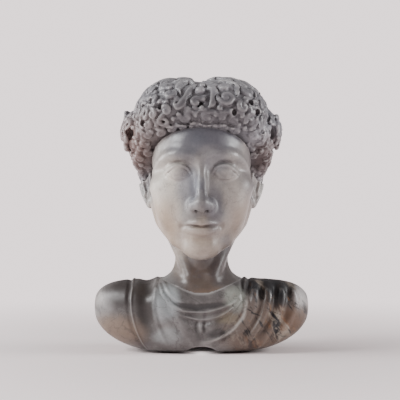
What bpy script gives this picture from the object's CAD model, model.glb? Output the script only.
"""Looks of the marble bust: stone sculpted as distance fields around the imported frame, then meshed."""

import math
from copy import copy, deepcopy

import bpy
import numpy as np
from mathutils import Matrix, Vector


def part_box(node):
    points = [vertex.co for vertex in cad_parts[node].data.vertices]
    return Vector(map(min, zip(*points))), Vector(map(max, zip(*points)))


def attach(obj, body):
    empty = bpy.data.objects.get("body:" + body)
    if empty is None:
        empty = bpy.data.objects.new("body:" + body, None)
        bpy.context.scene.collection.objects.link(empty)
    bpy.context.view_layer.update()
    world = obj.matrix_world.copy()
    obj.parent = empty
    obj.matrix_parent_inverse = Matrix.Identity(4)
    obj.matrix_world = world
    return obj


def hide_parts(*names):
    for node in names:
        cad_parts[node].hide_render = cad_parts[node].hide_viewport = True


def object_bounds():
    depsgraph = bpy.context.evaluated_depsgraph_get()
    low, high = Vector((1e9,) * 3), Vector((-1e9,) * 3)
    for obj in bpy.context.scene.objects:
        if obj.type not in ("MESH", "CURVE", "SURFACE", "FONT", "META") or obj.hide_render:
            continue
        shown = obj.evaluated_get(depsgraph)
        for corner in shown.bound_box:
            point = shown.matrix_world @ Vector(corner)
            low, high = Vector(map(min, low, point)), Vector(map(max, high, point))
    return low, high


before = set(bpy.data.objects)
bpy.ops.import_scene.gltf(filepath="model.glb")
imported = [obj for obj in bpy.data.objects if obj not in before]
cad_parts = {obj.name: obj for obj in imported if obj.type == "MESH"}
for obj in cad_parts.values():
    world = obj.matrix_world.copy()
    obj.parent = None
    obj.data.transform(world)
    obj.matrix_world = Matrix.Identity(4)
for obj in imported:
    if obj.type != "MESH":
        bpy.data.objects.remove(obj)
cad_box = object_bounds()

MM = 0.001
BODY = "root"
TRIANGLE_LIMIT = 190000
FAR = 50.0
COARSE = 1.0
EVERYWHERE = ([-1e4] * 3, [1e4] * 3)


def box_mm(node):
    """The corners of a CAD node in millimetres."""
    return tuple(np.array(corner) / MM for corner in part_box(node))


# Driving sizes in millimetres, in the row's frame: the face looks along -Y
low_corner, high_corner = (np.array(corner) / MM for corner in cad_box)
HALF_WIDTH = (high_corner[0] - low_corner[0]) / 2
TOP_Z = high_corner[2]
CHIN_Z = 104.0
SKULL_H = 184.0
EYE_Z = CHIN_Z + SKULL_H / 2
BROW_Z = CHIN_Z + 0.57 * SKULL_H
NOSE_Z = CHIN_Z + (BROW_Z - CHIN_Z) / 2
MOUTH_Z = CHIN_Z + (NOSE_Z - CHIN_Z) * 0.66
PAD_T = box_mm("felt_pad_front_left")[1][2]
rod_low, rod_high = box_mm("tie_rod")
ROD_X, ROD_Y = (rod_low[0] + rod_high[0]) / 2, (rod_low[1] + rod_high[1]) / 2
WASHER_TOP = box_mm("tie_rod_washer")[1][2]
ROD_HOLE_R = (rod_high[0] - rod_low[0]) / 2 + 0.15
WAY_THROUGH_R = 6.0
RECESS_R = 14.0


# ---- Distances ----

def smooth_min(a, b, soft):
    """The smaller distance, rounded over a length `soft` where the two are nearly equal."""
    if soft <= 0:
        return np.minimum(a, b)
    overlap = np.maximum(soft - np.abs(a - b), 0) / soft
    return np.minimum(a, b) - overlap * overlap * (soft / 4)


def unit(vectors):
    """The vectors along the last axis, brought to length 1."""
    vectors = np.asarray(vectors, float)
    return vectors / np.maximum(np.linalg.norm(vectors, axis=-1, keepdims=True), 1e-6)


def turn_matrix(degrees):
    """Rotation by three angles in degrees about X, then Y, then Z."""
    out = np.eye(3)
    for axis, angle in enumerate(degrees):
        c, s = math.cos(math.radians(angle)), math.sin(math.radians(angle))
        step = np.eye(3)
        i, j = (axis + 1) % 3, (axis + 2) % 3
        step[i, i], step[j, j] = c, c
        step[i, j], step[j, i] = -s, s
        out = step @ out
    return out


class Shape:
    """A distance function with the box that holds it."""

    def __init__(self, distance, low, high):
        self.distance = distance
        self.low = np.array(low, float)
        self.high = np.array(high, float)


def ball(centre, radii, turn=None):
    """An ellipsoid, turned by three angles if they are given."""
    cx, cy, cz = centre
    rx, ry, rz = radii
    back = None if turn is None else turn_matrix(turn).T

    def distance(x, y, z):
        px, py, pz = x - cx, y - cy, z - cz
        if back is not None:
            px, py, pz = (row[0] * px + row[1] * py + row[2] * pz for row in back)
        inner = np.sqrt((px / rx) ** 2 + (py / ry) ** 2 + (pz / rz) ** 2)
        slope = np.sqrt((px / rx ** 2) ** 2 + (py / ry ** 2) ** 2 + (pz / rz ** 2) ** 2)
        return inner * (inner - 1) / np.maximum(slope, 1e-4)

    reach = np.array(radii if turn is None else [max(radii)] * 3)
    return Shape(distance, np.array(centre) - reach, np.array(centre) + reach)


def rope(points, radii):
    """A round string through the points, whose radius changes along it."""
    points = [np.array(p, float) for p in points]
    if np.isscalar(radii):
        radii = [radii] * len(points)

    def distance(x, y, z):
        best = None
        for a, b, ra, rb in zip(points, points[1:], radii, radii[1:]):
            along = b - a
            length2 = max(float(along @ along), 1e-6)
            px, py, pz = x - a[0], y - a[1], z - a[2]
            t = np.clip((px * along[0] + py * along[1] + pz * along[2]) / length2, 0, 1)
            d = np.sqrt((px - t * along[0]) ** 2 + (py - t * along[1]) ** 2 + (pz - t * along[2]) ** 2)
            d = d - (ra + t * (rb - ra))
            best = d if best is None else np.minimum(best, d)
        return best

    reach = max(radii)
    return Shape(distance, np.min(points, 0) - reach, np.max(points, 0) + reach)


def half_space(point, normal):
    """Everything behind a plane whose normal points away from it."""
    n = unit(normal)
    offset = float(n @ np.array(point, float))

    def distance(x, y, z):
        return n[0] * x + n[1] * y + n[2] * z - offset

    return Shape(distance, *EVERYWHERE)


def rod(point, axis, radius, start=-1e4, stop=1e4):
    """A round bar along an axis through a point, between two places along it."""
    n = unit(axis)

    def distance(x, y, z):
        px, py, pz = x - point[0], y - point[1], z - point[2]
        t = px * n[0] + py * n[1] + pz * n[2]
        across = np.sqrt(np.maximum(px * px + py * py + pz * pz - t * t, 0)) - radius
        return np.maximum(across, np.maximum(t - stop, start - t))

    return Shape(distance, *EVERYWHERE)


# ---- Clay: a field of distances on a grid ----

class Clay:
    """A block of clay: distances to its surface on a regular grid, negative inside the clay."""

    def __init__(self, low, high, step):
        self.low = np.array(low, np.float32)
        self.step = step * COARSE
        self.count = np.ceil((np.array(high) - self.low) / self.step).astype(int) + 1
        self.field = np.full(self.count, FAR, np.float32)
        self.axes = [(low + self.step * np.arange(count)).astype(np.float32)
                     for low, count in zip(self.low, self.count)]

    def part(self, low, high):
        """An empty block of clay on the same grid, between two corners."""
        piece = copy(self)
        piece.cut, _ = self.window(low, high, 0)
        piece.axes = [axis[cut] for axis, cut in zip(self.axes, piece.cut)]
        piece.low = np.array([axis[0] for axis in piece.axes])
        piece.count = np.array([len(axis) for axis in piece.axes])
        piece.field = np.full(piece.count, FAR, np.float32)
        return piece

    def join_part(self, piece, soft=0.0):
        self.field[piece.cut] = smooth_min(self.field[piece.cut], piece.field, soft)

    def window(self, low, high, margin):
        """The slices of the grid between two corners, and the coordinates along them."""
        first = np.floor((np.array(low) - margin - self.low) / self.step).astype(int)
        last = np.ceil((np.array(high) + margin - self.low) / self.step).astype(int) + 1
        first, last = np.clip(first, 0, self.count), np.clip(last, 0, self.count)
        cut = tuple(slice(a, b) for a, b in zip(first, last))
        return cut, np.ix_(*(self.axes[k][cut[k]] for k in range(3)))

    def join(self, shape, soft=0.0, sign=1):
        cut, (x, y, z) = self.window(shape.low, shape.high, soft + 3)
        if self.field[cut].size:
            self.field[cut] = sign * smooth_min(sign * self.field[cut], shape.distance(x, y, z), soft)

    def carve(self, shape, soft=0.0):
        self.join(shape, soft, -1)

    def keep(self, shape, soft=0.0):
        x, y, z = np.ix_(*self.axes)
        self.field = -smooth_min(-self.field, -shape.distance(x, y, z), soft)

    def sample(self, points, volume=None):
        """Values at points between the grid's nodes."""
        volume = self.field if volume is None else volume
        place = (np.asarray(points, np.float32) - self.low) / np.float32(self.step)
        base = np.clip(np.floor(place).astype(int), 0, np.array(self.count) - 2)
        f = np.clip(place - base, 0, 1)
        total = 0
        for corner in range(8):
            bits = [(corner >> k) & 1 for k in range(3)]
            weight = np.prod([f[:, k] if bits[k] else 1 - f[:, k] for k in range(3)], 0)
            total = total + weight * volume[base[:, 0] + bits[0], base[:, 1] + bits[1], base[:, 2] + bits[2]]
        return total

    def slope(self, points):
        """The field's gradient at points, by central differences."""
        gap = self.step
        steps = np.eye(3, dtype=np.float32) * gap
        return np.stack([(self.sample(points + s) - self.sample(points - s)) / (2 * gap) for s in steps], 1)

    def touch(self, start, direction, reach=90):
        """The first surface point met from outside, going from start along direction, or None."""
        direction = unit(direction)
        along = np.arange(0, reach, self.step / 2)
        line = np.array(start, float) + along[:, None] * direction
        values = self.sample(line)
        inside = np.nonzero(values < 0)[0]
        if len(inside) == 0:
            return None
        k = inside[0]
        if k == 0:
            return line[0]
        t = values[k - 1] / (values[k - 1] - values[k])
        return line[k - 1] + t * (line[k] - line[k - 1])

    def leave(self, start, direction, reach=130):
        """The last surface point on a ray that goes from inside the clay to the outside."""
        direction = unit(direction)
        return self.touch(start + direction * reach, -direction, reach)


def blurred(volume, reach):
    """Two box blurs along each axis, `reach` voxels each way."""
    width = 2 * reach + 1
    for axis in (0, 1, 2, 0, 1, 2):
        pad = [(reach + 1, reach) if k == axis else (0, 0) for k in range(3)]
        total = np.moveaxis(np.cumsum(np.pad(volume, pad, mode="edge"), axis=axis, dtype=np.float32), axis, 0)
        volume = np.moveaxis((total[width:] - total[:-width]) / width, 0, axis)
    return volume


# ---- Clay to mesh ----

def surface_net(clay):
    """Points and outward quads on the clay's surface: one point in each cell that it crosses."""
    d = clay.field
    inside = d < 0
    cells = tuple(n - 1 for n in d.shape)
    corners = [(i, j, k) for i in (0, 1) for j in (0, 1) for k in (0, 1)]
    views = [inside[tuple(slice(v, v + n) for v, n in zip(c, cells))] for c in corners]
    active = np.argwhere(np.any(views, 0) & ~np.all(views, 0))
    value = {c: d[tuple((active + c).T)] for c in corners}
    total = np.zeros((len(active), 3), np.float32)
    hits = np.zeros(len(active), np.float32)
    for c in corners:
        for axis in range(3):
            if c[axis] == 1:
                continue
            other = tuple(v + (k == axis) for k, v in enumerate(c))
            a, b = value[c], value[other]
            crossed = (a < 0) != (b < 0)
            t = np.where(crossed, a / np.where(crossed, a - b, 1), 0)
            place = np.array(c, np.float32) + np.eye(3, dtype=np.float32)[axis] * t[:, None]
            total += place * crossed[:, None]
            hits += crossed
    points = clay.low + clay.step * (active + total / hits[:, None])
    index = np.full(cells, -1, np.int32)
    index[tuple(active.T)] = np.arange(len(active))
    quads = []
    for axis in range(3):
        u, v = (axis + 1) % 3, (axis + 2) % 3
        near, far = [slice(1, -1)] * 3, [slice(1, -1)] * 3
        near[axis], far[axis] = slice(0, -1), slice(1, None)
        starts_in, ends_in = inside[tuple(near)], inside[tuple(far)]
        for flag, order in ((starts_in & ~ends_in, 1), (~starts_in & ends_in, -1)):
            ring = []
            for du, dv in ((0, 0), (1, 0), (1, 1), (0, 1)):
                cell = np.argwhere(flag)
                cell[:, u] += du
                cell[:, v] += dv
                ring.append(index[tuple(cell.T)])
            quads.append(np.stack(ring, 1)[:, ::order])
    return points.astype(np.float32), np.concatenate(quads)


def largest_shell(points, quads):
    """Drops every loose crumb and closed bubble, and keeps the biggest connected surface."""
    label = np.arange(len(points))
    ends = quads.ravel(), np.roll(quads, -1, 1).ravel()
    while True:
        lowest = np.minimum(label[ends[0]], label[ends[1]])
        fresh = label.copy()
        for end in ends:
            np.minimum.at(fresh, end, lowest)
            np.minimum.at(fresh, label[end], lowest)
        fresh = fresh[fresh]
        if np.array_equal(fresh, label):
            break
        label = fresh
    names, sizes = np.unique(label, return_counts=True)
    keep = label == names[np.argmax(sizes)]
    order = np.cumsum(keep) - 1
    return points[keep], order[quads[keep[quads[:, 0]]]]


def settled(clay, points, rounds=2):
    """Moves points along the slope onto the surface, by at most half a step each time."""
    for _ in range(rounds):
        g = clay.slope(points)
        size2 = np.maximum((g * g).sum(1), 0.05)
        move = clay.sample(points)[:, None] * g / size2[:, None]
        points = points - np.clip(move, -clay.step / 2, clay.step / 2)
    return points


def thinned(piece, triangles):
    """Collapses the flattest edges until the piece has that many triangles."""
    piece.data.calc_loop_triangles()
    now = len(piece.data.loop_triangles)
    if now <= triangles:
        return
    modifier = piece.modifiers.new("thin", "DECIMATE")
    modifier.ratio = triangles / now
    depsgraph = bpy.context.evaluated_depsgraph_get()
    fresh = bpy.data.meshes.new_from_object(piece.evaluated_get(depsgraph))
    piece.modifiers.clear()
    piece.data = fresh


def fired(clay, name, whole=None):
    """Turns the clay into a mesh object in metres, with smooth normals and a hollowness for each point.

    whole: the block that the clay was split from, whose hollows count instead of the clay's own
    """
    points, quads = largest_shell(*surface_net(clay))
    points = settled(clay, points)
    mesh = bpy.data.meshes.new(name)
    mesh.vertices.add(len(points))
    mesh.vertices.foreach_set("co", (points * MM).ravel())
    mesh.loops.add(quads.size)
    mesh.loops.foreach_set("vertex_index", quads.ravel())
    mesh.polygons.add(len(quads))
    mesh.polygons.foreach_set("loop_start", np.arange(0, quads.size, 4))
    mesh.update(calc_edges=True)
    piece = bpy.data.objects.new(name, mesh)
    bpy.context.scene.collection.objects.link(piece)
    thinned(piece, TRIANGLE_LIMIT)
    mesh = piece.data
    mesh.name = name
    place = np.zeros(len(mesh.vertices) * 3, np.float32)
    mesh.vertices.foreach_get("co", place)
    place = place.reshape(-1, 3) / MM
    solid = np.clip(0.5 - (whole or clay).field / (1.5 * clay.step), 0, 1)
    for label, reach in (("hollow_near", 3.0), ("hollow_wide", 9.0)):
        share = clay.sample(place, blurred(solid, round(reach / 2 / clay.step)))
        layer = mesh.attributes.new(label, "FLOAT", "POINT")
        layer.data.foreach_set("value", np.asarray(share, np.float32))
    mesh.shade_smooth()
    mesh.normals_split_custom_set_from_vertices(unit(clay.slope(place)))
    return piece


# ---- Curves laid on the clay ----

def spline(points, pieces=6):
    """A Catmull-Rom curve through the points."""
    p = np.array(points, float)
    p = np.vstack([2 * p[0] - p[1], p, 2 * p[-1] - p[-2]])
    out = []
    for a, b, c, d in zip(p, p[1:], p[2:], p[3:]):
        for t in np.arange(pieces) / pieces:
            out.append(0.5 * (2 * b + t * (c - a) + t * t * (2 * a - 5 * b + 4 * c - d)
                              + t ** 3 * (3 * (b - c) + d - a)))
    out.append(p[-2])
    return out


def on_front(clay, points, sink=0.0, pieces=6, start_y=-110):
    """A curve given by x and z, laid on the side of the clay that faces -Y, sunk in by `sink`."""
    found = [clay.touch((x, start_y, z), (0, 1, 0), 150) for x, z in spline(points, pieces)]
    return [p + (0, sink, 0) for p in found if p is not None]


def tapered(count, middle, end, power=2.0):
    """Radii of a string that is thick in the middle and thin at its ends."""
    s = np.linspace(-1, 1, count)
    return list(end + (middle - end) * (1 - np.abs(s) ** power))


def string(points, middle, end, power=2.0):
    """A rope that is thick in the middle and thin at its ends."""
    return rope(points, tapered(len(points), middle, end, power))


def beside(side, level, points):
    """Points by x and z, given as their distance from the middle and their height over a level."""
    return [(side * x, level + z) for x, z in points]


def shifted(points, across, up):
    """Points by x and z, moved sideways and up."""
    return [(x + across, z + up) for x, z in points]


def both_ways(half):
    """A curve across the middle, from its half on +X, which starts in the middle."""
    return [(-p[0],) + tuple(p[1:]) for p in half[:0:-1]] + half


# ---- Head ----

CROWN_TILT = math.radians(34)
HAIRLINE = np.array([0.0, -73.0, CHIN_Z + 142])
CROWN_NORMAL = np.array([0.0, math.sin(CROWN_TILT), math.cos(CROWN_TILT)])
BED_HALF = 0.4
BIB_SINK = 0.5
FADE_TOP, FADE_H = 92, 8
NECKLINE = np.array([0.0, 8.0, 72.0])
NECK_TILT = math.radians(18)
NECK_AXIS = np.array([0.0, -math.sin(NECK_TILT), math.cos(NECK_TILT)])
NECKLINE_R = 44.0
SEAT_DROP = 14.0


def neck_shape():
    """The neck: an oval column that spreads into the shoulders below and the skull above."""
    heights = [40, 74, 79, 83, 87, 92, 98, 106, 120, 140, 160, 180]
    half_widths = [42, 41.5, 40, 37, 33.5, 30.8, 29.3, 29, 31, 36, 42, 46]
    fronts = [-36, -34, -32, -30, -28.5, -27.5, -27.5, -28, -30, -30, -26, -22]
    backs = [54, 53.5, 52.5, 51, 49.5, 48.5, 48, 48.5, 50.5, 55, 62, 66]

    def distance(x, y, z):
        flat = z.ravel()
        a, front, back = (np.interp(flat, heights, row).reshape(z.shape).astype(np.float32)
                          for row in (half_widths, fronts, backs))
        b, middle = (back - front) / 2, (back + front) / 2
        inner = np.sqrt((x / a) ** 2 + ((y - middle) / b) ** 2)
        return (inner - 1) * np.minimum(a, b)

    return Shape(distance, (-48, -42, 44), (48, 68, 182))


def block_out_skull(clay):
    """The big forms of the head: skull, forehead, face, cheekbones, jaw and chin."""
    clay.join(ball((0, 6, 222), (57, 73, 64)))
    clay.join(ball((0, -20, 223), (50.5, 53.5, 43)), 12)
    clay.join(ball((0, -25, 176), (48.5, 47, 56)), 16)
    for side in (-1, 1):
        clay.join(ball((side * 36, -37, 180), (18, 23, 15), (0, 0, side * 20)), 14)
        jaw = [(side * 42, -6, 160), (side * 38, -14, 145), (side * 23, -43, 126), (side * 9, -58, 117)]
        clay.join(rope(jaw, [13, 12, 11.5, 10.5]), 16)
        clay.join(ball((side * 29, -46, 158), (19, 20, 23)), 14)
    clay.join(ball((0, -64, 117), (15, 13, 12)), 10)
    clay.join(ball((0, -56.5, MOUTH_Z + 4), (26, 20, 22)), 12)


def sculpt_ear(clay, side):
    """An ear: a shell with a rolled rim, a hollow, a ridge inside it and a lobe."""
    centre = np.array([side * 58.0, 8.0, 182.0])
    lean = turn_matrix((-10, 0, -26))

    def put(forward, up, out):
        x, y, z = lean @ np.array([out, -forward, up])
        return centre + np.array([side * x, y, z])

    rim = [(7, -2, 0), (9, 8, 0.5), (7, 18, 1.5), (0, 25, 2.5), (-8, 24, 3), (-13.5, 15, 3.5), (-13, 3, 3.5),
           (-9.5, -8, 3), (-5, -16, 2), (0, -22, 1.2), (5, -21, 0.6), (7, -13, 0)]
    fold = [(0, 18, 2), (-6, 12, 2.6), (-8, 2, 2.6), (-5, -8, 2.2)]
    clay.join(ball(put(-1, 1, -2.5), (5, 13, 23), (-10, 0, side * -26)), 5)
    clay.join(rope(spline([put(*p) for p in rim], 3), 2.5), 1.5)
    clay.join(ball(put(2, -19, 0.5), (4, 6, 6.5)), 3)
    clay.carve(ball(put(-1, -1, 5), (5, 7, 10), (-10, 0, side * -26)), 2.5)
    clay.join(rope(spline([put(*p) for p in fold], 3), 2.0), 2)
    clay.join(ball(put(7.5, -6, 1.5), (3, 3.5, 5)), 3)


def sculpt_eye(clay, side):
    """A plain open eye: the ball in its socket, an upper and a lower lid, and the fold over the upper one."""
    clay.carve(ball((side * 25, -84, EYE_Z + 3), (17, 15.5, 11.5), (0, 0, side * -12)), 9)
    clay.carve(ball((side * 12.5, -80, EYE_Z + 3), (5, 9, 10)), 7)
    clay.join(ball((side * 23.5, -58, EYE_Z), (14.6, 13.0, 11.6)), 2.5)
    upper = [(10.5, -2.5), (14.5, 2.6), (20, 5.4), (27, 5.4), (33.5, 1.8), (38, -2.2)]
    lower = [(12, -3.2), (17, -6.0), (24, -7.2), (31, -5.8), (36, -2.8)]
    crease = [(13, 6), (19, 9.6), (27, 9.8), (34, 6.5), (39.5, 1)]
    upper_lid, lower_lid, fold = (on_front(clay, beside(side, EYE_Z, line), sink)
                                  for line, sink in ((upper, 0.5), (lower, 0.4), (crease, -0.3)))
    clay.carve(string([p + (0, 0.4, -1.7) for p in upper_lid], 1.2, 0.5), 0.8)
    clay.join(string(upper_lid, 1.9, 0.9), 0.8)
    clay.join(string(lower_lid, 1.3, 0.7), 1.0)
    clay.carve(string(fold, 1.5, 0.6), 1.4)


def sculpt_brow(clay, side):
    """The edge of the brow, from the nose to the temple."""
    brow = [(side * 9, -67, BROW_Z + 0.5), (side * 22, -66.5, BROW_Z + 4), (side * 34, -60, BROW_Z + 3),
            (side * 44, -48, BROW_Z - 3), (side * 49, -36, BROW_Z - 12)]
    clay.join(rope(spline(brow, 4), list(np.interp(range(17), [0, 8, 16], [6, 5.4, 1.5]))), 8)


def sculpt_nose(clay):
    """The bridge, the ball of the tip, the two wings, the strip between the nostrils, and the nostrils."""
    bridge = [(0, -67, BROW_Z - 3), (0, -71.5, EYE_Z - 3), (0, -78, NOSE_Z + 18), (0, -82.3, NOSE_Z + 7)]
    clay.join(rope(bridge, [6.0, 5.2, 6.2, 7.2]), 6)
    clay.join(ball((0, -83.4, NOSE_Z + 5.2), (7.6, 6.8, 6.6)), 4)
    for side in (-1, 1):
        clay.join(ball((side * 8.4, -75.0, NOSE_Z + 4), (5.4, 8.0, 6.0), (10, 0, side * 14)), 7)
    clay.join(rope([(0, -84, NOSE_Z + 0.8), (0, -75.5, NOSE_Z - 1)], [2.6, 3.2]), 3)
    for side in (-1, 1):
        clay.carve(ball((side * 5.2, -79.0, NOSE_Z - 1.4), (2.2, 4.0, 2.8), (0, 0, side * -16)), 1.5)


def sculpt_mouth(clay):
    """Closed lips at rest, with the groove above them and the hollow below."""
    z = MOUTH_Z
    clay.carve(rope([(0, -80.4, NOSE_Z - 4), (0, -81.2, z + 8)], [1.8, 2.6]), 3)
    clay.carve(ball((0, -83.5, z - 12.5), (14, 6.5, 4.2)), 6)
    upper = [(0, -76.5, z + 3.4), (5, -76.2, z + 4.4), (12, -72.6, z + 2.6), (19.5, -66.5, z)]
    lower = [(0, -75.3, z - 5.0), (10, -72.6, z - 4.2), (18, -66.8, z - 1.2)]
    parting = [(0, z - 0.8), (5, z + 0.2), (12, z + 0.6), (20.5, z - 0.2)]
    clay.join(string(spline(both_ways(upper), 3), 3.6, 1.4, 2.5), 2.0)
    clay.join(string(spline(both_ways(lower), 4), 4.6, 1.4, 2.5), 2.0)
    clay.carve(string(on_front(clay, both_ways(parting), 0.2, 4), 1.4, 0.8), 1.0)
    for side in (-1, 1):
        clay.carve(ball((side * 22, -70.5, z - 0.5), (2.4, 3, 2.6)), 4)


def sculpt_head():
    """The head, neck and the round bib under the neck, below the hair's bedding plane."""
    clay = Clay((-72, -98, 50), (72, 90, 252), 0.85)
    block_out_skull(clay)
    for side in (-1, 1):
        sculpt_brow(clay, side)
    sculpt_nose(clay)
    for side in (-1, 1):
        sculpt_eye(clay, side)
    sculpt_mouth(clay)
    clay.join(neck_shape(), 14)
    for side in (-1, 1):
        clay.join(rope([(side * 43, 22, 168), (side * 30, -4, 124), (side * 12, -25, 84)], [7, 6.5, 5]), 9)
    clay.join(ball((0, -25, 110), (8, 6, 13)), 8)
    clay.carve(ball((0, -40, 80), (7, 8, 6)), 8)
    for side in (-1, 1):
        sculpt_ear(clay, side)
    bib = clay.part((-52, -50, 50), (52, 64, 96))
    bib.join(shoulders_shape())
    evened(bib)
    bib.field += BIB_SINK
    clay.join_part(bib, 7)
    inside_socket = rod(NECKLINE, NECK_AXIS, NECKLINE_R + 0.4, 2 * BED_HALF - SEAT_DROP)
    lower = clay.part((-72, -98, 50), (72, 90, FADE_TOP))
    lower.field = clay.field[lower.cut]
    lower.keep(inside_socket)
    fade = np.clip((FADE_TOP - lower.axes[2]) / FADE_H, 0, 1)
    clay.field[lower.cut] += (lower.field - clay.field[lower.cut]) * fade
    clay.keep(half_space(HAIRLINE - BED_HALF * CROWN_NORMAL, CROWN_NORMAL))
    clay.carve(rod((ROD_X, ROD_Y, 0), (0, 0, 1), ROD_HOLE_R, 0, rod_high[2] + 1))
    return clay


# ---- Shoulders ----

MID_Z = 49.0
SHOULDER_RISE = 30.0
TUCK = 0.35
CHEST_Y = 10.0
CHEST_HALF_DEPTH = 50.0
ARCH_W, ARCH_H = 36.0, 7.0
ARCH_R = ((ARCH_W / 2) ** 2 + ARCH_H ** 2) / (2 * ARCH_H)
CLOAK_FOOT = np.array([16.0, 0.0, 0.0])
CLOAK_LEAN, CLOAK_YAW = math.radians(33), math.radians(18)
CLOAK_NORMAL = np.array([math.cos(CLOAK_LEAN) * math.cos(CLOAK_YAW),
                         -math.cos(CLOAK_LEAN) * math.sin(CLOAK_YAW),
                         -math.sin(CLOAK_LEAN)])


def shoulders_shape():
    """Both shoulders in one piece: an oval bar with a flat top that swells down to the ground."""

    def distance(x, y, z):
        u = np.minimum(np.abs(x) / HALF_WIDTH, 0.9990)
        top = SHOULDER_RISE * (1 - u ** 7) ** 0.45 + 6 * np.exp(-(u / 0.32) ** 2)
        under = MID_Z * 1.05 * (1 - u ** 2.8) ** 0.5
        deep = CHEST_HALF_DEPTH * (1 - u ** 2.6) ** 0.5
        over = z > MID_Z
        rise = np.where(over, top, under)
        power = np.where(over, 2.6, 3.4)
        around = (np.abs((y - CHEST_Y) / deep) ** power + np.abs((z - MID_Z) / rise) ** power) ** (1 / power)
        rough = (around - 1) * np.minimum(deep, rise)
        return rough.astype(np.float32)

    return Shape(distance, (-HALF_WIDTH, -60, -5), (HALF_WIDTH, 80, 95))


def evened(clay):
    """Scales a rough field so that it is close to a true distance near its surface."""
    g = np.gradient(clay.field, clay.step)
    size = np.sqrt(g[0] ** 2 + g[1] ** 2 + g[2] ** 2)
    clay.field = np.clip(clay.field / np.maximum(size, 0.2), -FAR, FAR).astype(np.float32)


def over_shoulder(clay, points, sink, on_top=0.0):
    """A line from the front of the chest, given by x and z from the top down, carried over the top
    of the shoulder, deeper there by `on_top`, and down the back as its mirror."""
    front = on_front(clay, points[::-1], sink, 5)
    x_top = points[0][0]
    found = list(front)
    for angle in range(50, 131, 8):
        way = np.array([0, math.cos(math.radians(angle)), -math.sin(math.radians(angle))])
        p = clay.touch(np.array([x_top, CHEST_Y, MID_Z]) - 90 * way, way)
        if p is not None and p[2] > points[0][1] - 4:
            found.append(p + (sink + on_top * (1 - abs(angle - 90) / 60)) * way)
    for x, z in spline(points, 5):
        p = clay.touch((x, 110, z), (0, -1, 0), 110)
        if p is not None:
            found.append(p - (0, sink, 0))
    return found


def raise_line(clay, line, radius, soft):
    clay.join(string(line, radius, radius * 0.6, 6), soft)


def carve_line(clay, line, radius, soft):
    clay.carve(string(line, radius, radius * 0.5, 6), soft)


def carve_collar(clay):
    """The tunic's neckline: two rolled hems below a hollow, a small pleat, and folds from the shoulder."""
    hollow = [(-40, 68), (-30, 56.5), (-20, 52.5), (0, 51.5), (18, 53.5), (30, 58.5), (40, 67)]
    first = [(-36, 60), (-28, 51), (-20, 47.5), (-8, 46.2), (4, 46.2), (16, 48.8), (27, 52.7), (36, 57),
             (42, 65)]
    second = [(-30, 49), (-22, 43.5), (-12, 40), (-2, 38.2), (9, 38.8), (20, 42), (29, 47), (38, 53.5),
              (43, 61)]
    carve_line(clay, on_front(clay, hollow, -2.6), 4.2, 2.5)
    for hem, sink, radius, depth, width, soft in ((first, 0.3, 1.6, -0.9, 1.9, 1.2),
                                                  (second, 0.4, 1.5, -1.2, 2.4, 2.0)):
        raise_line(clay, on_front(clay, hem, sink), radius, 1.0)
        carve_line(clay, on_front(clay, shifted(hem[1:-1], 0, -3.6), depth), width, soft)
    raise_line(clay, on_front(clay, [(-1, 36.5), (-1.5, 31), (-0.5, 24)], 0.5), 1.9, 1.4)
    for groove in ([(-5, 36), (-5.5, 31), (-4.5, 25)], [(3.2, 36), (2.8, 31), (3.5, 25)]):
        carve_line(clay, on_front(clay, groove, -0.6), 1.9, 1.4)
    for fold in ([(-45, 75), (-40, 63), (-32, 54), (-22, 49)], [(-41, 77), (-35, 67), (-27, 59.5), (-18, 56)],
                 [(-48, 70), (-44, 55), (-37, 44), (-27, 37)]):
        raise_line(clay, on_front(clay, fold, 0.8), 1.8, 1.6)
    for fold in ([(-46, 60), (-42, 44), (-34, 30), (-24, 19)], [(-26, 40), (-19, 30), (-13, 20)],
                 [(10, 34), (13, 28), (18, 24)]):
        raise_line(clay, on_front(clay, fold, 3.2), 4.6, 4.0)


def carve_left_shoulder(clay):
    """The tunic's side: an upright fold, a hollow, and the thin hem that runs over the shoulder."""
    fold = [(-49, 69), (-49.5, 64), (-50, 52), (-48, 38), (-43, 24), (-37, 12)]
    hollow = [(-61, 74), (-63, 58), (-61, 40), (-55, 24), (-48, 12)]
    hem = [(-74.6, 70), (-75.2, 64), (-75.4, 54), (-73.8, 41), (-69.5, 26), (-63, 12), (-58, 5)]
    carve_line(clay, over_shoulder(clay, hollow, -7.4), 9.0, 4)
    raise_line(clay, over_shoulder(clay, fold, 0.9, on_top=1.0), 2.2, 2.0)
    carve_line(clay, over_shoulder(clay, shifted(hem, -3.8, 0), -1.2), 2.4, 2.0)
    raise_line(clay, over_shoulder(clay, hem, 0.35), 1.45, 0.8)


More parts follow.
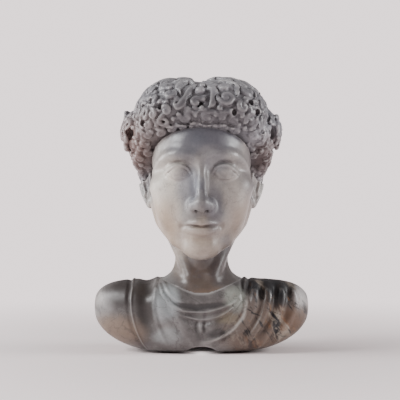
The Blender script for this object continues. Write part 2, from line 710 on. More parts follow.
def carve_cloak(clay):
    """The cloak's rolled border and the folds that fall from the shoulder towards the middle."""
    border = [(48, 71), (48.3, 66), (48.8, 54), (47.5, 45), (44, 37.5), (38, 31), (29, 24), (19.5, 18.8),
              (10, 15.4), (-1, 13.4)]
    carve_line(clay, over_shoulder(clay, shifted(border[1:], -3.6, 2.4), -1.6), 2.8, 2.0)
    raise_line(clay, over_shoulder(clay, border, 0.9, on_top=1.6), 2.7, 1.4)
    carve_line(clay, over_shoulder(clay, shifted(border[1:-1], 4.2, -2.2), -1.0), 2.2, 2.0)
    folds = [[(57, 67), (56, 60), (52.5, 46), (46, 34), (37, 24), (27, 15)],
             [(71, 67), (71.5, 60), (68, 45), (61, 31), (52, 19), (43, 10)],
             [(86, 67), (87, 60), (82.5, 44), (75, 29), (66, 16), (59, 8)],
             [(99, 65), (101, 57), (97, 42), (89, 27), (79, 14)]]
    for k, fold in enumerate(folds):
        raise_line(clay, over_shoulder(clay, fold, 2.2 + 0.2 * k, on_top=6.0), 4.2, 3.0)
        carve_line(clay, over_shoulder(clay, shifted(fold[1:], -6.8, 0), -1.7, on_top=-8.0), 3.0, 2.5)
    creases = [[(63, 68), (63, 54), (58.5, 41), (51, 29), (42, 19)],
               [(78, 66), (78, 52), (73, 38), (65, 25), (57, 15)]]
    for crease in creases:
        carve_line(clay, on_front(clay, crease, -0.5), 1.2, 1.0)


def sculpt_torso():
    """The chest and the cloak in one block, with the hems and folds carved across both."""
    clay = Clay((-122, -52, -3), (122, 70, 90), 0.9)
    clay.join(shoulders_shape())
    evened(clay)
    for side in (-1, 1):
        clay.keep(half_space((side * (HALF_WIDTH - 0.3), 0, 0), (side, 0, 0)), 4)
    carve_collar(clay)
    carve_left_shoulder(clay)
    carve_cloak(clay)
    clay.keep(half_space((0, 0, PAD_T), (0, 0, -1)), 1.5)
    clay.carve(rod((0, 0, PAD_T + ARCH_H - ARCH_R), (0, 1, 0), ARCH_R), 1.5)
    clay.carve(rod(NECKLINE, NECK_AXIS, NECKLINE_R, -SEAT_DROP))
    clay.carve(rod((ROD_X, ROD_Y, 0), (0, 0, 1), RECESS_R, 0, WASHER_TOP))
    clay.carve(rod((ROD_X, ROD_Y, 0), (0, 0, 1), WAY_THROUGH_R, 0, rod_high[2]))
    return clay


def split_torso(torso):
    """The two blocks on either side of the cloak's bedding plane, where the joint closes to a hairline."""
    chest, cloak = deepcopy(torso), deepcopy(torso)
    chest.keep(half_space(CLOAK_FOOT + TUCK * CLOAK_NORMAL, CLOAK_NORMAL))
    cloak.keep(half_space(CLOAK_FOOT - TUCK * CLOAK_NORMAL, -CLOAK_NORMAL))
    return chest, cloak


# ---- Hair ----

HAIR_LEVEL = float(HAIRLINE @ CROWN_NORMAL)
HAIR_FRONT = np.array([0.0, -math.cos(CROWN_TILT), math.sin(CROWN_TILT)])
RIGHT = np.array([1.0, 0.0, 0.0])
HAIR_MIDDLE = np.array([0.0, 4.0, 222.0])
RIM_CENTRE = HAIR_MIDDLE - CROWN_NORMAL * float((HAIR_MIDDLE - HAIRLINE) @ CROWN_NORMAL)
LOBE_CENTRE = (20.0, -1.0, TOP_Z - 52)
LOBE_R = (52.0, 84.0, 50.0)
LOBE_DROP = 130.0
FRINGE_HEIGHT = 40.0
CROWN_HALF_W = 68.0
# Distances between curls, between the small curls that fill in, and between crown locks
CURL_GAP = 11.2
FILL_GAP = 0.66 * CURL_GAP
LOCK_GAP = 11.5
# How deep the curls' roots lie, how far the hair's skin stands off the skull, and how many curls have a pit
CURL_ROOT = 1.2
SKULL_CLEARANCE = 2.5
PIT_SHARE = 0.12
HAIR_BLOCK = ((-96, -100, 118), (96, 98, 306), 0.9)


def lobe(side):
    """A boxy lobe of hair over one side of the crown, long below its widest level."""
    cx, cy, cz = side * LOBE_CENTRE[0], LOBE_CENTRE[1], LOBE_CENTRE[2]
    power = 2.4

    def distance(x, y, z):
        rise = np.where(z > cz, (z - cz) / LOBE_R[2], (cz - z) / LOBE_DROP)
        total = np.abs((x - cx) / LOBE_R[0]) ** power + np.abs((y - cy) / LOBE_R[1]) ** power + rise ** power
        return (total ** (1 / power) - 1) * LOBE_R[0]

    low = (cx - LOBE_R[0], cy - LOBE_R[1], cz - LOBE_DROP)
    return Shape(distance, low, (cx + LOBE_R[0], cy + LOBE_R[1], cz + LOBE_R[2]))


def level_direction(around):
    """A direction in the bedding plane: 0 is the front and 90 is +X."""
    a = math.radians(around)
    return math.sin(a) * RIGHT + math.cos(a) * HAIR_FRONT


def hair_mass(skull):
    """The hair without its curls: two lobes, a roll round the hairline and a bunch over each ear."""
    clay = Clay(*HAIR_BLOCK)
    for side in (-1, 1):
        clay.join(lobe(side), 6)
    evened(clay)
    clay.carve(ball((0, 8, TOP_Z + 5), (11, 84, 10.5)), 7)
    clay.keep(half_space(HAIRLINE, -CROWN_NORMAL), 14)
    ring = []
    for around in range(0, 370, 10):
        way = level_direction(around)
        inner = np.linalg.norm(skull.leave(RIM_CENTRE, way, 110) - RIM_CENTRE)
        above = RIM_CENTRE + 8 * CROWN_NORMAL
        outer = np.linalg.norm(clay.leave(above, way, 110) - above)
        thick = min(max((outer - inner) / 2, 5.5), 10.0)
        ring.append((RIM_CENTRE + (inner + thick - 0.5) * way + (thick - 3.0) * CROWN_NORMAL, thick))
    clay.join(rope([centre for centre, _ in ring], [thick for _, thick in ring]), 5)
    for side in (-1, 1):
        clay.join(ball((side * 71, -4, 240), (15.5, 28, 21)), 9)
        clay.join(ball((side * 61.5, -6, 219), (14, 25, 23)), 8)
    clay.keep(half_space(HAIRLINE, -CROWN_NORMAL), 9)
    return clay


def spread_out(points, gap, taken):
    """Picks points about `gap` apart, each one in the widest space left. taken: places and their reach."""
    room = np.full(len(points), 1e6)
    for place, reach in taken:
        room = np.minimum(room, np.linalg.norm(points - place, axis=1) - reach)
    picked = []
    while room.max() >= gap:
        k = int(np.argmax(room))
        picked.append(points[k])
        room = np.minimum(room, np.linalg.norm(points - points[k], axis=1))
    return picked


def skin_frame(clay, point):
    """The outward normal at a surface point, and the directions sideways and up along the surface."""
    normal = unit(clay.slope(point[None])[0])
    side = np.cross(CROWN_NORMAL, normal)
    side = unit(side if np.linalg.norm(side) > 0.2 else RIGHT)
    return normal, side, np.cross(normal, side)


def draped(base, points):
    """Points pulled onto the hair's surface, the normals there, and which points reached it."""
    points = np.array(points, float)
    for _ in range(3):
        normal = base.slope(points)
        size = np.maximum(np.linalg.norm(normal, axis=1, keepdims=True), 0.3)
        points = points - base.sample(points)[:, None] * normal / size ** 2
        normal = normal / size
    return points, normal, np.abs(base.sample(points)) < 0.8


def curl(clay, base, point, radius, start, turn, turns=1.1, thick=2.8, lift=0.0, pit=0.0, moat=True):
    """A lock that comes in from outside and winds to an eye, or bends round a drilled pit."""
    normal, side, up = skin_frame(base, point)

    def put(reach, angle):
        return point + reach * (math.cos(angle) * side + math.sin(angle) * up)

    begin = math.radians(start)
    end_reach = 0.55 if pit else 0.03
    if moat:
        ring, out, _ = draped(base, [put(radius + thick + 0.4, 2 * math.pi * k / 12) for k in range(13)])
        clay.carve(rope(list(ring + 0.8 * out), 1.3), 1.2)
    places, heights, radii = [put(radius + 3.2, begin - turn * 0.7)], [-1.6], [thick * 0.7]
    steps = round(11 * turns)
    for k in range(steps + 1):
        s = k / steps
        places.append(put(radius * (1 - (1 - end_reach) * s), begin + turn * 2 * math.pi * turns * s))
        heights.append(lift - 1.0 + (0.9 * s if not pit else 0.9 * math.sin(2.5 * s)))
        radii.append(thick * (1 - 0.22 * s))
    path, out, reached = draped(base, places)
    path = path + np.array(heights)[:, None] * out
    gaps = np.linalg.norm(np.diff(path, axis=0), axis=1)
    if reached.all() and gaps.max() < 9:
        clay.join(rope(list(path), radii), 1.1)
        if pit:
            clay.carve(rope([point - 2.0 * normal, point + 4.0 * normal], [pit * 0.8, pit * 1.2]), 0.9)


def crown_locks(clay, base, starts, rng):
    """Wavy locks of two strands, combed from the parting outwards and down, each in its own groove."""
    count, steps, pace = len(starts), 9, 3.7
    places = np.array(starts, float)
    out = np.sign(places[:, 0] + 0.01)[:, None]
    comb = out * np.array([0.85, 0.0, 0.0]) + np.array([0.0, -0.12, -0.75])
    comb[:, 1] += np.clip(places[:, 1] / 90, -0.5, 0.8)
    bend = rng.uniform(26, 46, count) * rng.choice([-1, 1], count)
    phase = rng.uniform(0, 2 * math.pi, count)
    lines, normals, acrosses = [], [], []
    for k in range(steps):
        normal = unit(base.slope(places))
        forward = unit(comb - (comb * normal).sum(1, keepdims=True) * normal)
        angle = np.radians(bend * np.sin(2 * math.pi * k / steps + phase))[:, None]
        across = np.cross(normal, forward)
        forward = np.cos(angle) * forward + np.sin(angle) * across
        lines.append(places)
        normals.append(normal)
        acrosses.append(np.cross(normal, forward))
        places = draped(base, places + pace * forward)[0]
    lines, normals, acrosses = (np.array(a).transpose(1, 0, 2) for a in (lines, normals, acrosses))
    swell = np.sin(np.linspace(0.10, 0.97, steps) * math.pi)[:, None]
    for line, normal, across in zip(lines, normals, acrosses):
        lift = rng.uniform(-0.7, 0.5)
        if np.linalg.norm(np.diff(line, axis=0), axis=1).max() > 2 * pace:
            continue
        for offset in (-1, 1):
            edge = line + offset * (0.8 + 5.9 * swell) * across + 0.3 * normal
            clay.carve(rope(list(edge), 1.5), 0.7)
        for offset in (-1, 1):
            strand = line + offset * 2.75 * swell * across + (lift - 1.5 + 1.0 * swell) * normal
            clay.join(rope(list(strand), [0.9 + 1.8 * float(v) for v in swell[:, 0]]), 0.7)


def sculpt_forelocks(clay, base):
    """The knot over the forehead with its hollow, the strands that hang from it, and the largest curls."""

    def front(x, z, out=0.0):
        return base.touch((x, -120, z), (0, 1, 0), 160) - (0, out, 0)

    taken = []
    clay.carve(ball(front(-5, 269, -1), (7.5, 6, 8), (0, 20, 0)), 2)
    knot = front(-1.5, 280)
    clay.join(ball(knot, (5.4, 4.8, 4.8)), 1)
    taken.append((knot, 4.0))
    for path, middle in (([(9, 292), (12.5, 285), (13.5, 275), (11.5, 266), (8, 262.5)], 3.0),
                         ([(-6, 287), (-12, 281), (-16, 272), (-22, 264), (-27, 263), (-28, 267)], 2.7),
                         ([(-8, 289), (-14, 291), (-21, 288), (-25, 282), (-22, 277)], 2.6),
                         ([(16, 288), (24, 290), (33, 287), (38, 281), (36, 275)], 2.6)):
        middle_line = np.array([front(x, z, 0.2) for x, z in spline(path, 4)])
        across = unit(np.cross(np.gradient(middle_line, axis=0), (0, 1, 0)))
        widths = np.array(tapered(len(middle_line), 1.8, 0.3))[:, None]
        clay.carve(string(list(middle_line - (0, 0.8, 0)), middle + 2.2, 1.2), 1.4)
        for offset in (-1, 1):
            clay.join(string(list(middle_line + offset * widths * across), middle - 0.4, 0.8), 1.5)
        taken += [(place, 1.0) for place in middle_line[2::4]]
    for k, x in enumerate(range(-46, 47, 12)):
        edge = RIM_CENTRE + 70 * level_direction(math.degrees(math.asin(x / 74)))
        point = base.leave(edge + 3 * CROWN_NORMAL, HAIR_FRONT - 0.35 * CROWN_NORMAL, 40)
        curl(clay, base, point, 5.4 + 0.5 * (k % 2), 100 + 25 * (k % 3), 1 if x > 0 else -1, 1.05, 3.2, 1.1,
             moat=False)
        taken.append((point, 0.5))
    for x, z, radius, start, turn, turns in ((26, 272, 8.0, 200, 1, 1.5), (-33, 276, 5.4, 20, -1, 1.1),
                                             (-51, 256, 5.2, 60, -1, 1.0), (-37, 259, 5.0, 120, -1, 1.0),
                                             (43, 263, 5.4, 150, 1, 1.1)):
        curl(clay, base, front(x, z), radius, start, turn, turns, 3.0, 1.2)
        taken.append((front(x, z), radius - 4.0))
    return taken


def sculpt_hair():
    skull = Clay(*HAIR_BLOCK)
    block_out_skull(skull)
    skull.join(neck_shape(), 14)
    base = hair_mass(skull)
    clay = deepcopy(base)
    clay.field += CURL_ROOT
    rng = np.random.default_rng(7)
    taken = sculpt_forelocks(clay, base)

    skin = settled(base, surface_net(base)[0])
    height = skin @ CROWN_NORMAL - HAIR_LEVEL
    outside = skull.sample(skin) > SKULL_CLEARANCE
    slope = base.slope(skin)
    on_crown = (height > FRINGE_HEIGHT) & (np.abs(skin[:, 0]) < CROWN_HALF_W) & (slope[:, 2] > 0.25)
    fringe = skin[outside & ~on_crown & (slope @ CROWN_NORMAL > -0.92)]
    locks = spread_out(skin[outside & on_crown], LOCK_GAP, taken)
    crown_locks(clay, base, locks, rng)
    for point in spread_out(fringe, CURL_GAP, taken):
        taken.append((point, 0.0))
        turn = (1 if point[0] > 0 else -1) * (1 if rng.random() > 0.25 else -1)
        pit = rng.uniform(1.3, 1.9) if rng.random() < PIT_SHARE else 0
        curl(clay, base, point, rng.uniform(4.8, 6.4), 90 + rng.uniform(-80, 80), turn,
             rng.uniform(0.8, 1.15), rng.uniform(3.0, 3.7), rng.uniform(-0.9, 0.7), pit)

    for point in spread_out(fringe, FILL_GAP, taken):
        curl(clay, base, point, rng.uniform(2.2, 3.0), rng.uniform(0, 360), rng.choice([-1, 1]), 0.5,
             rng.uniform(2.3, 2.9), rng.uniform(-0.4, 0.6), moat=False)

    for side, deep in ((-1, 0.75), (1, 1.0)):
        clay.carve(ball((side * 76.5, -28, 238), (4.5 * deep, 9 * deep, 7 * deep), (0, 0, side * 10)), 3)
    for x, z in ((-53, 269), (-43, 263), (51.5, 268), (58.6, 258), (-62, 247), (34, 257)):
        pit = base.touch((x, -120, z), (0, 1, 0), 160)
        clay.carve(ball(pit + (0, 0.5, 0), (2.6, 5, 3.6)), 1)
    skull.field += 0.4
    skull.keep(half_space(HAIRLINE + BED_HALF * CROWN_NORMAL, CROWN_NORMAL))
    clay.field = np.maximum(clay.field, -skull.field)
    return clay


# ---- Materials ----

def srgb(red, green, blue):
    """A colour from 0 to 255 as a linear colour."""
    return tuple(((c / 255 + 0.055) / 1.055) ** 2.4 for c in (red, green, blue)) + (1.0,)


class Recipe:
    """The node tree of one material, built up step by step."""

    def __init__(self, name):
        self.material = bpy.data.materials.new(name)
        self.material.use_nodes = True
        self.tree = self.material.node_tree
        self.shader = self.tree.nodes["Principled BSDF"]
        self.place = self.add("ShaderNodeTexCoord").outputs["Object"]

    def feed(self, socket, value):
        if isinstance(value, bpy.types.NodeSocket):
            self.tree.links.new(value, socket)
        else:
            socket.default_value = value

    def add(self, kind, sockets=None, **settings):
        """A new node, with a value or a link for each of the named or numbered sockets."""
        node = self.tree.nodes.new(kind)
        for name, value in settings.items():
            setattr(node, name, value)
        for key, value in (sockets or {}).items():
            self.feed(node.inputs[key], value)
        return node

    def surface(self, sockets):
        """Feeds the shader and gives the finished material."""
        for name, value in sockets.items():
            self.feed(self.shader.inputs[name], value)
        return self.material

    def noise(self, scale, detail=4.0, roughness=0.55, distortion=0.0, place=None, colour=False):
        sockets = {"Vector": place or self.place, "Scale": scale, "Detail": detail, "Roughness": roughness,
                   "Distortion": distortion}
        return self.add("ShaderNodeTexNoise", sockets).outputs["Color" if colour else "Fac"]

    def maths(self, operation, a, b=0.0):
        return self.add("ShaderNodeMath", {0: a, 1: b}, operation=operation).outputs[0]

    def vector_maths(self, operation, a, b=(0, 0, 0), out="Vector"):
        return self.add("ShaderNodeVectorMath", {0: a, 1: b}, operation=operation).outputs[out]

    def remap(self, value, low, high, to_low=0.0, to_high=1.0):
        sockets = {"Value": value, "From Min": low, "From Max": high, "To Min": to_low, "To Max": to_high}
        return self.add("ShaderNodeMapRange", sockets, interpolation_type="SMOOTHSTEP").outputs["Result"]

    def mix(self, factor, a, b, mode="MIX"):
        node = self.add("ShaderNodeMix", {0: factor, 6: a, 7: b}, data_type="RGBA", blend_type=mode)
        return node.outputs[2]

    def ramp(self, value, stops):
        node = self.add("ShaderNodeValToRGB", {"Fac": value})
        elements = node.color_ramp.elements
        while len(elements) < len(stops):
            elements.new(0.5)
        for element, (position, colour) in zip(elements, stops):
            element.position = position
            element.color = colour
        return node.outputs["Color"]

    def mapping(self, place, kind="POINT", **sockets):
        return self.add("ShaderNodeMapping", {"Vector": place, **sockets}, vector_type=kind).outputs["Vector"]

    def stretched(self, turn, scale):
        """The place, turned by three angles in degrees and then stretched."""
        return self.mapping(self.mapping(self.place, Rotation=[math.radians(t) for t in turn]), Scale=scale)

    def attribute(self, name):
        return self.add("ShaderNodeAttribute", attribute_name=name).outputs["Fac"]

    def bump(self, height, strength, distance, normal=None):
        sockets = {"Height": height, "Strength": strength, "Distance": distance}
        return self.add("ShaderNodeBump", sockets | ({"Normal": normal} if normal else {})).outputs["Normal"]

    def away(self, centre, radii, place):
        """The distance from a point in the stone, as a share of the radii. Sizes in millimetres."""
        centre, radii = ([v * MM for v in values] for values in (centre, radii))
        local = self.mapping(place, "TEXTURE", Location=centre, Scale=radii)
        return self.vector_maths("LENGTH", local, out="Value")

    def cloud(self, centre, radii, place, edge=0.45):
        """1 inside an oval cloud in the stone, fading to 0 at its edge."""
        return self.remap(self.away(centre, radii, place), 1 + edge, 1 - edge)

    def ring(self, x, z, radius, width):
        """1 on a band at that distance from an axis along Y, fading to 0 beside it."""
        off = self.maths("SUBTRACT", self.away((x, 0, z), (radius, 1e6, radius), self.place), 1.0)
        return self.remap(self.maths("ABSOLUTE", off), 2 * width / radius, 0.0)


def warped(recipe, scale, amount):
    """The place, pushed about by noise so that clouds and veins get ragged edges. The amount is in metres."""
    push = recipe.noise(scale, 5.0, 0.6, colour=True)
    centred = recipe.vector_maths("SUBTRACT", push, (0.5, 0.5, 0.5))
    scaled = recipe.vector_maths("MULTIPLY", centred, (2 * amount,) * 3)
    return recipe.vector_maths("ADD", recipe.place, scaled)


def marble(name, tones, clouds=(), veins=(), streaks=(), rings=(), dirt=0.6, polish=0.35):
    """Carved marble: cloudy ground, oval clouds of other colours, veins, and dust in the hollows.

    Colours go from 0 to 255.
    tones: dark, middle and light ground colours
    clouds: centre and radii in millimetres, colour, strength
    veins: noise scale, width, colour, strength
    streaks: turn in degrees, stretch, colour, low and high threshold, and the cloud that they lie in
    rings: bands round an axis along Y: centre x and z, radius, half width, colour, strength, and their cloud
    """
    r = Recipe(name)
    tones = [srgb(*tone) for tone in tones]
    rough_place = warped(r, 26, 0.012)
    ground = r.noise(15, 6.0, 0.58, 0.6, rough_place)
    colour = r.ramp(ground, [(0.34, tones[0]), (0.5, tones[1]), (0.66, tones[2])])
    second = r.noise(42, 5.0, 0.62, 0.3, rough_place)
    colour = r.mix(r.remap(second, 0.42, 0.72, 0.0, 0.45), colour, tones[2])
    colour = r.mix(r.remap(second, 0.56, 0.3, 0.0, 0.4), colour, tones[0])
    cloud_place = warped(r, 34, 0.007)
    for centre, radii, tint, strength in clouds:
        patch = r.cloud(centre, radii, cloud_place)
        colour = r.mix(r.maths("MULTIPLY", patch, strength), colour, srgb(*tint))
    for turn, scale, tint, low, high, (centre, radii) in streaks:
        streak = r.noise(1.0, 5.0, 0.6, 0.4, r.stretched(turn, scale))
        inside = r.cloud(centre, radii, cloud_place)
        colour = r.mix(r.maths("MULTIPLY", r.remap(streak, low, high), inside), colour, srgb(*tint))
    for x, z, radius, width, tint, strength, (centre, radii) in rings:
        inside = r.maths("MULTIPLY", r.ring(x, z, radius, width), r.cloud(centre, radii, r.place))
        colour = r.mix(r.maths("MULTIPLY", inside, strength), colour, srgb(*tint))
    for scale, width, tint, strength in veins:
        field = r.noise(scale, 4.0, 0.6, 1.2, rough_place)
        gap = r.maths("ABSOLUTE", r.maths("SUBTRACT", field, 0.5))
        colour = r.mix(r.remap(gap, width, 0.0, 0.0, strength), colour, srgb(*tint))
    grain = r.noise(420, 3.0, 0.7)
    colour = r.mix(1.0, colour, r.ramp(grain, [(0.25, (0.86, 0.86, 0.86, 1)), (0.75, (1.08, 1.08, 1.08, 1))]),
                   "MULTIPLY")
    near, wide = r.attribute("hollow_near"), r.attribute("hollow_wide")
    deep = r.remap(near, 0.54, 0.86, 0.0, dirt)
    colour = r.mix(deep, colour, srgb(46, 41, 40))
    colour = r.mix(r.remap(wide, 0.55, 0.8, 0.0, dirt * 0.5), colour, srgb(60, 54, 52))
    crest = r.remap(near, 0.44, 0.26, 0.0, 0.28)
    colour = r.mix(crest, colour, srgb(206, 204, 202))
    gloss = r.remap(r.noise(60, 4.0, 0.6), 0.3, 0.7, polish - 0.07, polish + 0.10)
    tooled = r.bump(r.noise(150, 3.0, 0.6), 0.16, 0.0008)
    return r.surface({"Base Color": colour,
                      "Roughness": r.maths("ADD", gloss, r.remap(near, 0.5, 0.8, 0.0, 0.35)),
                      "Normal": r.bump(r.noise(700, 2.0, 0.6), 0.12, 0.0003, tooled)})


def steel():
    r = Recipe("turned_steel")
    rings = r.noise(1.0, 2.0, 0.5, place=r.stretched((0, 0, 0), (60, 60, 1800)))
    return r.surface({"Base Color": r.ramp(rings, [(0.3, srgb(150, 152, 156)), (0.7, srgb(196, 198, 202))]),
                      "Metallic": 1.0, "Roughness": r.remap(r.noise(240), 0.3, 0.7, 0.28, 0.46),
                      "Normal": r.bump(rings, 0.2, 0.0002)})


def adhesive():
    r = Recipe("stone_adhesive")
    tone = r.noise(130, 4.0, 0.6)
    return r.surface({"Base Color": r.ramp(tone, [(0.3, srgb(176, 168, 156)), (0.7, srgb(214, 208, 198))]),
                      "Roughness": r.remap(tone, 0.3, 0.7, 0.55, 0.8),
                      "Normal": r.bump(r.noise(500), 0.3, 0.0004)})


def felt():
    r = Recipe("pressed_felt")
    fibre = r.noise(1500, 3.0, 0.7, 1.5)
    return r.surface({"Base Color": r.ramp(fibre, [(0.3, srgb(28, 27, 26)), (0.7, srgb(74, 71, 68))]),
                      "Roughness": 0.95, "Sheen Weight": 0.4, "Normal": r.bump(fibre, 0.8, 0.0006)})


# The stone's own clouds, by place: centre, radii, colour and strength
CLOAK_SIDE = ((74, 0, 42), (48, 90, 42))
TORSO_CLOUDS = [
    ((74, 0, 30), (52, 90, 36), (94, 76, 62), 0.75),
    ((-84, 0, 66), (18, 90, 18), (50, 45, 44), 0.92),
    ((-60, 0, 58), (13, 90, 27), (46, 41, 39), 0.95),
    ((-66, 0, 20), (9, 90, 16), (84, 74, 68), 0.6),
    ((-113, 0, 60), (8, 90, 10), (150, 145, 142), 0.6),
    ((-92, 0, 24), (30, 90, 18), (124, 105, 90), 0.75),
    ((-37, -38, 56), (13, 34, 18), (150, 156, 158), 0.85),
    ((-36, -38, 19), (15, 30, 8), (146, 150, 150), 0.7),
    ((0, -40, 53), (27, 20, 3.6), (50, 48, 49), 0.85),
    ((20, -40, 22), (13, 30, 5), (52, 50, 52), 0.75),
    ((36, -34, 60), (11, 34, 14), (142, 146, 138), 0.8),
    ((30, -40, 38), (12, 30, 6), (124, 114, 94), 0.6),
    ((70, 0, 73), (28, 90, 13), (30, 32, 35), 0.95),
    ((84, 0, 60), (13, 70, 11), (22, 24, 28), 0.85),
    ((111, 0, 62), (9, 90, 12), (178, 175, 174), 0.85),
    ((92, -20, 36), (20, 50, 15), (96, 72, 56), 0.75),
    ((60, -20, 14), (34, 60, 9), (110, 92, 79), 0.65),
]
HEAD_CLOUDS = [
    ((16, -66, 236), (38, 30, 19), (66, 68, 80), 0.85),
    ((-16, -66, 226), (22, 30, 16), (88, 90, 97), 0.75),
    ((-34, -50, 172), (22, 40, 34), (206, 199, 188), 0.8),
    ((34, -50, 164), (14, 30, 26), (176, 168, 160), 0.6),
    ((52, -20, 190), (14, 50, 40), (104, 98, 100), 0.6),
    ((0, -70, 136), (26, 30, 14), (150, 130, 112), 0.5),
    ((-26, -20, 96), (11, 50, 18), (176, 162, 146), 0.6),
    ((19, -20, 102), (20, 50, 30), (62, 56, 57), 0.88),
    ((-3, -34, 80), (14, 24, 18), (116, 97, 80), 0.75),
    ((8, -34, 66), (16, 24, 9), (134, 110, 88), 0.7),
    ((13, -80, 158), (9, 30, 26), (92, 92, 100), 0.65),
    ((-14, -72, 152), (10, 30, 14), (112, 112, 114), 0.5),
    ((-36, -10, 76), (12, 50, 12), (150, 154, 156), 0.6),
    ((-5, -26, 86), (42, 56, 21), (72, 64, 61), 0.75),
    ((-44, -46, 138), (20, 50, 30), (160, 134, 108), 0.62),
    ((-8, -60, 116), (30, 40, 12), (158, 138, 118), 0.5),
    ((45, -42, 140), (18, 50, 30), (132, 112, 96), 0.6),
    ((-15, -78, 180), (14, 30, 20), (104, 110, 124), 0.6),
    ((14, -66, 206), (14, 30, 12), (96, 98, 108), 0.5),
]
HAIR_CLOUDS = [
    ((0, -66, 258), (70, 40, 20), (80, 77, 79), 0.7),
    ((0, -30, 294), (64, 90, 15), (150, 149, 152), 0.6),
    ((-62, -40, 226), (26, 60, 38), (78, 67, 63), 0.65),
    ((-76, -10, 222), (22, 60, 32), (112, 90, 84), 0.75),
    ((74, -10, 212), (22, 60, 24), (84, 68, 65), 0.8),
    ((-50, -60, 238), (20, 40, 20), (112, 103, 101), 0.5),
    ((30, -60, 262), (30, 40, 18), (84, 82, 86), 0.5),
]
CLOAK_STREAKS = [
    ((0, 30, 0), (70, 20, 30), (150, 140, 128), 0.54, 0.68, CLOAK_SIDE),
    ((0, 30, 0), (120, 24, 36), (24, 24, 28), 0.56, 0.66, CLOAK_SIDE),
    ((0, 24, 0), (110, 30, 50), (130, 98, 74), 0.56, 0.74, CLOAK_SIDE),
    ((0, 60, 0), (200, 30, 50), (30, 28, 30), 0.60, 0.68, CLOAK_SIDE),
]
BORDER_BAND = [(-2, 64, 51, 1.3, (190, 186, 180), 0.6, ((34, 0, 36), (36, 90, 30)))]
TORSO_TONES = ((72, 69, 68), (102, 98, 97), (138, 136, 135))


def stones():
    """The four marbles of the record."""
    head_tones = ((88, 86, 89), (128, 124, 121), (170, 165, 159))
    hair_tones = ((82, 82, 86), (114, 114, 119), (152, 151, 156))
    head_veins = [(20, 0.012, (84, 80, 84), 0.3)]
    hair_veins = [(24, 0.014, (58, 55, 58), 0.35)]
    torso_veins = [(18, 0.014, (54, 50, 50), 0.4)]
    torso = {"veins": torso_veins, "streaks": CLOAK_STREAKS, "rings": BORDER_BAND, "polish": 0.42}
    return {
        "head": marble("face_marble", head_tones, HEAD_CLOUDS, head_veins, dirt=0.75),
        "hair_crown": marble("hair_marble", hair_tones, HAIR_CLOUDS, hair_veins, dirt=0.7),
        "chest": marble("tunic_marble", TORSO_TONES, TORSO_CLOUDS, dirt=0.7, **torso),
        "cloak": marble("cloak_marble", TORSO_TONES, TORSO_CLOUDS, dirt=0.7, **torso),
    }


# ---- Pieces ----

def make_pieces():
    """The four carvings, each in the place of its CAD block."""
    torso = sculpt_torso()
    chest, cloak = split_torso(torso)
    carvings = (("head_carving", sculpt_head(), None, "head", "face_marble"),
                ("hair_carving", sculpt_hair(), None, "hair_crown", "hair_marble"),
                ("chest_carving", chest, torso, "chest", "tunic_marble"),
                ("cloak_carving", cloak, torso, "cloak", "cloak_marble"))
    stone = stones()
    for name, clay, whole, node, slot in carvings:
        piece = fired(clay, name, whole)
        piece.data.materials.clear()
        piece.data.materials.append(stone[node])
        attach(piece, BODY)
        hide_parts(node)


def dress_cad_nodes():
    """Better finishes on the CAD pieces that stay."""
    finishes = {"felt": felt(), "bed": adhesive(), "tie": steel()}
    finishes["pins"] = finishes["tie"]
    for name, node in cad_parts.items():
        for word, finish in finishes.items():
            if word in name:
                node.data.materials.clear()
                node.data.materials.append(finish)


# ---- Studio ----

BACKDROP = (1.0, 0.885, 0.89, 1)
BACKDROP_SEEN = 1.9
BACKDROP_LIGHT = 0.22
FLOOR_FADES = (0.08, 0.8)
CAMERA_AWAY = 1.40
CAMERA_PLACE = (-0.0016, -CAMERA_AWAY, 0.166)
AIM = (0, 0, 0.17)
FRAME_WIDTH = 0.4396


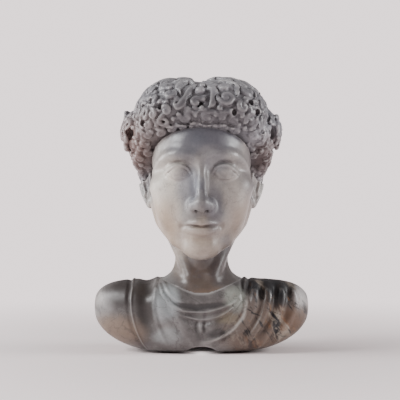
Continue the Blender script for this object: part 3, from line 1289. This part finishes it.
def make_floor():
    """A pale round floor that fades into the backdrop's colour away from the bust."""
    bpy.ops.mesh.primitive_circle_add(vertices=96, radius=9, fill_type="NGON")
    floor = bpy.context.object
    floor.name = "floor"
    r = Recipe("floor")
    r.surface({"Base Color": (0.93, 0.84, 0.84, 1), "Roughness": 0.75})
    glow = r.add("ShaderNodeEmission", {"Color": BACKDROP, "Strength": BACKDROP_SEEN})
    away = r.vector_maths("LENGTH", r.place, out="Value")
    blend = r.add("ShaderNodeMixShader", {0: r.remap(away, *FLOOR_FADES), 1: r.shader.outputs[0],
                                          2: glow.outputs[0]})
    r.feed(r.tree.nodes["Material Output"].inputs["Surface"], blend.outputs[0])
    floor.data.materials.append(r.material)


def make_light(name, place, size, power, aim=AIM):
    light = bpy.data.lights.new(name, "AREA")
    light.energy, light.size = power, size
    lamp = bpy.data.objects.new(name, light)
    bpy.context.scene.collection.objects.link(lamp)
    lamp.location = place
    lamp.rotation_euler = (Vector(aim) - Vector(place)).to_track_quat("-Z", "Y").to_euler()
    lamp.visible_camera = False


def make_studio():
    world = bpy.data.worlds.new("studio")
    bpy.context.scene.world = world
    world.use_nodes = True
    sky = world.node_tree.nodes["Background"]
    sky.inputs["Color"].default_value = BACKDROP
    ray = world.node_tree.nodes.new("ShaderNodeLightPath")
    strength = world.node_tree.nodes.new("ShaderNodeMix")
    strength.inputs["A"].default_value = BACKDROP_LIGHT
    strength.inputs["B"].default_value = BACKDROP_SEEN
    world.node_tree.links.new(ray.outputs["Is Camera Ray"], strength.inputs["Factor"])
    world.node_tree.links.new(strength.outputs["Result"], sky.inputs["Strength"])
    make_floor()
    make_light("key", (-1.3, -0.5, 0.9), 0.7, 31)
    make_light("side_right", (1.25, -0.15, 0.55), 0.6, 17)
    make_light("side_left", (-1.25, 0.25, 0.35), 0.6, 12)
    make_light("under_the_arch", (0, -0.02, PAD_T * MM + 0.0062), 0.026, 0.004, aim=(0, -0.02, 0))
    lens = bpy.data.cameras.new("camera")
    lens.lens = lens.sensor_width * CAMERA_AWAY / FRAME_WIDTH
    camera = bpy.data.objects.new("camera", lens)
    bpy.context.scene.collection.objects.link(camera)
    camera.location = CAMERA_PLACE
    camera.rotation_euler = (math.radians(90), 0, 0)
    bpy.context.scene.camera = camera


make_studio()
make_pieces()
dress_cad_nodes()
